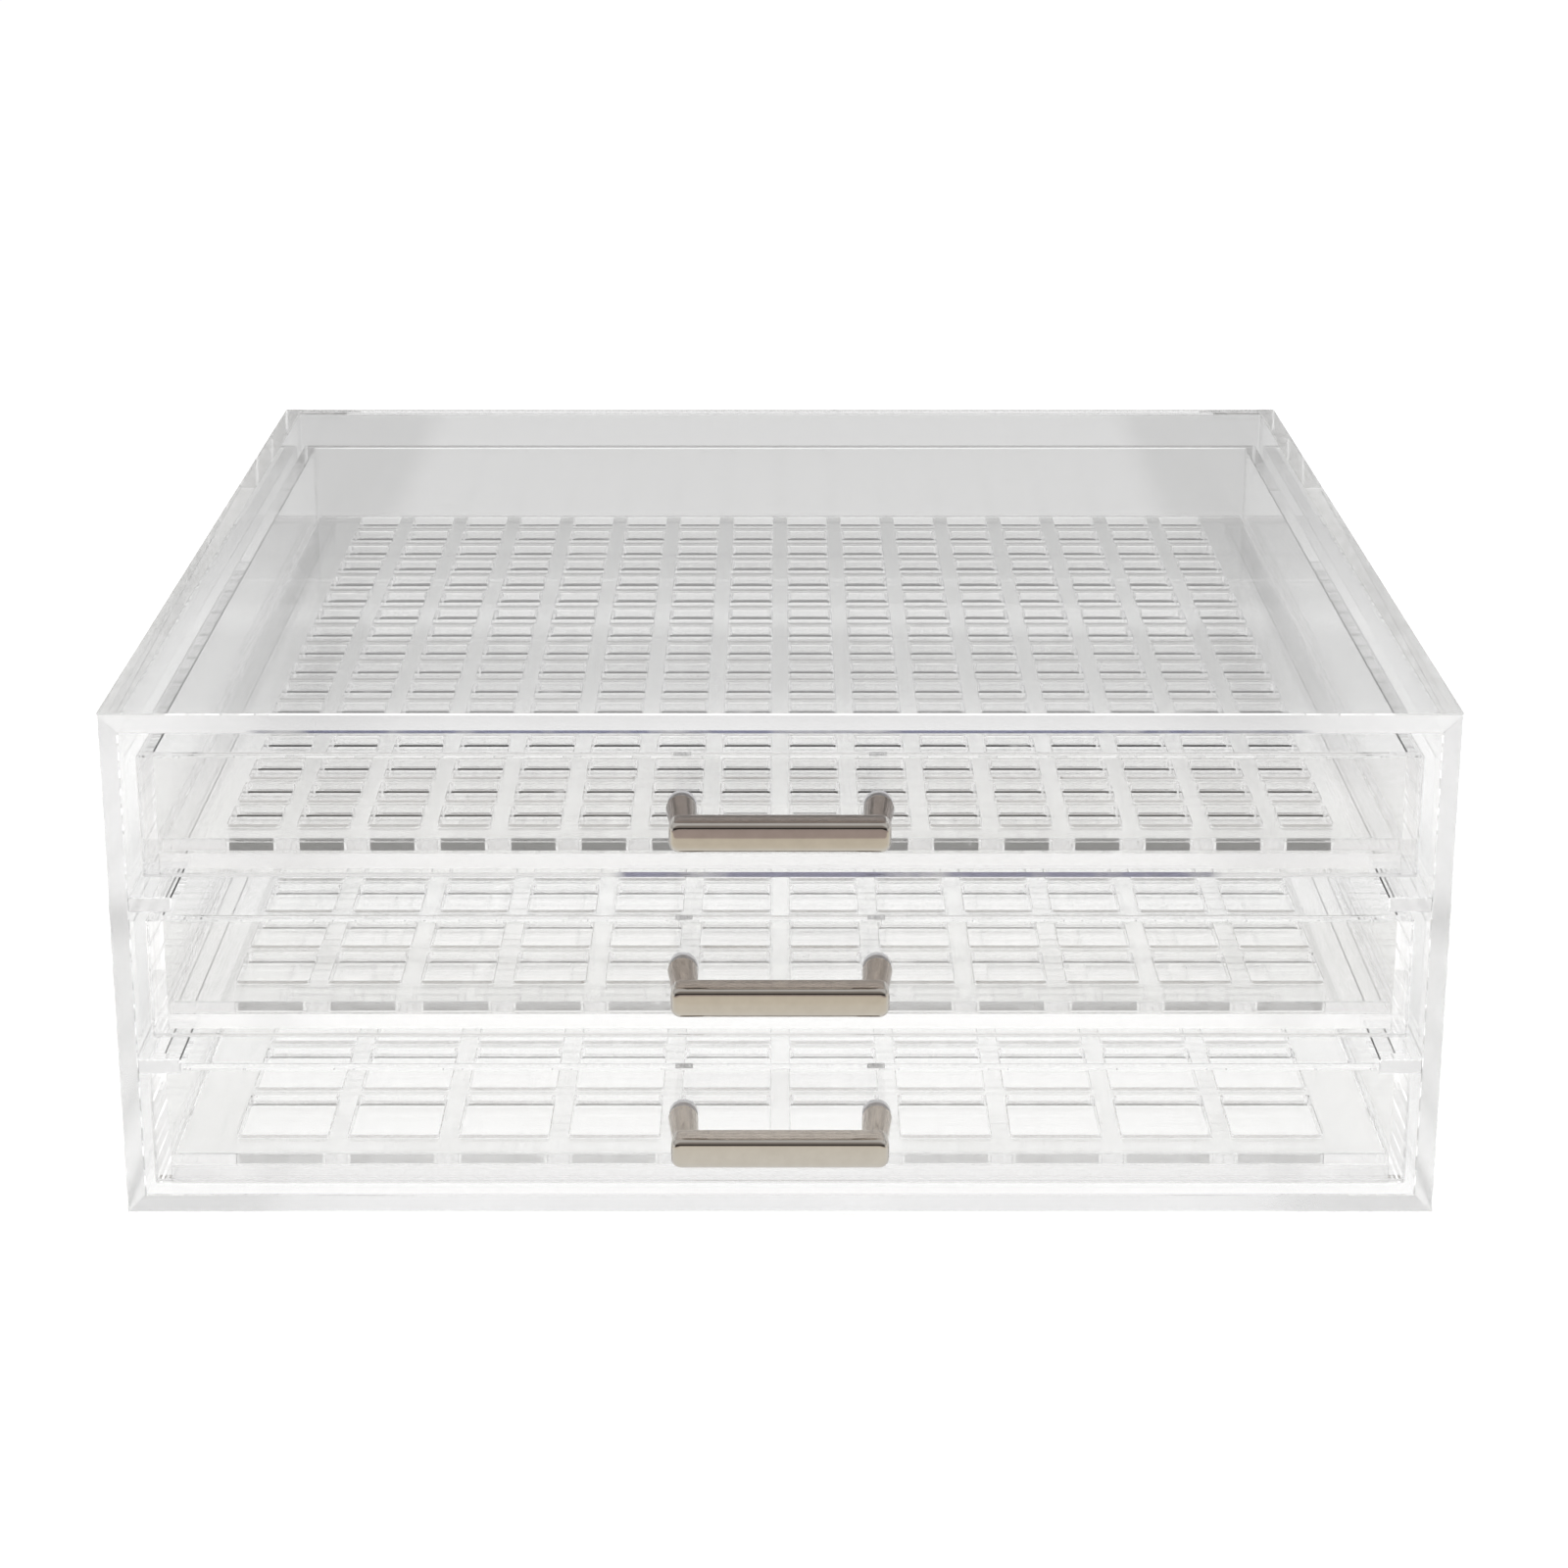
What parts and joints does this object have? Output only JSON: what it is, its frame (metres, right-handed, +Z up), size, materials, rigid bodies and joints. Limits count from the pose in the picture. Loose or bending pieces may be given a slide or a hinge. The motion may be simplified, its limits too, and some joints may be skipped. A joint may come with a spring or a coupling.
{
  "type": "jewellery organizer with drawers",
  "caption": "Clear acrylic organizer: an open-fronted case with sliding drawers, each with a cut-out grid plate and a polished bow handle, for sorting small jewellery.",
  "frame": {"origin": "middle of the case's underside, at half of its width and half of its depth", "axes": "+Z up, drawers open towards -Y, +X to the right seen from the front"},
  "size_m": [0.25, 0.2725, 0.1],
  "materials": {
    "case_acrylic": "clear, polished sheet",
    "drawer_acrylic": "clear, polished sheet",
    "grid_acrylic": "clear sheet with frosted cut edges",
    "polished_nickel": "polished, slightly warm",
    "screw_steel": "plain zinc plated"
  },
  "bodies": {
    "case": {"top_panel": "case_acrylic", "bottom_panel": "case_acrylic", "left_side_panel": "case_acrylic", "right_side_panel": "case_acrylic", "back_panel": "case_acrylic", "upper_left_runner": "case_acrylic", "upper_right_runner": "case_acrylic", "middle_left_runner": "case_acrylic", "middle_right_runner": "case_acrylic"},
    "upper_drawer": {"upper_drawer_front": "drawer_acrylic", "upper_drawer_back": "drawer_acrylic", "upper_drawer_left_side": "drawer_acrylic", "upper_drawer_right_side": "drawer_acrylic", "upper_drawer_base": "drawer_acrylic", "upper_grid_plate": "grid_acrylic", "upper_handle": "polished_nickel", "upper_handle_screws": "screw_steel"},
    "middle_drawer": {"middle_drawer_front": "drawer_acrylic", "middle_drawer_back": "drawer_acrylic", "middle_drawer_left_side": "drawer_acrylic", "middle_drawer_right_side": "drawer_acrylic", "middle_drawer_base": "drawer_acrylic", "middle_grid_plate": "grid_acrylic", "middle_handle": "polished_nickel", "middle_handle_screws": "screw_steel"},
    "lower_drawer": {"lower_drawer_front": "drawer_acrylic", "lower_drawer_back": "drawer_acrylic", "lower_drawer_left_side": "drawer_acrylic", "lower_drawer_right_side": "drawer_acrylic", "lower_drawer_base": "drawer_acrylic", "lower_grid_plate": "grid_acrylic", "lower_handle": "polished_nickel", "lower_handle_screws": "screw_steel"}
  },
  "joints": [
    {"name": "upper_drawer_slide", "type": "slide", "parent": "case", "child": "upper_drawer", "axis": [0, -1, 0], "range_m": [0, 0.18]},
    {"name": "middle_drawer_slide", "type": "slide", "parent": "case", "child": "middle_drawer", "axis": [0, -1, 0], "range_m": [0, 0.18]},
    {"name": "lower_drawer_slide", "type": "slide", "parent": "case", "child": "lower_drawer", "axis": [0, -1, 0], "range_m": [-0.006, 0.174]}
  ]
}
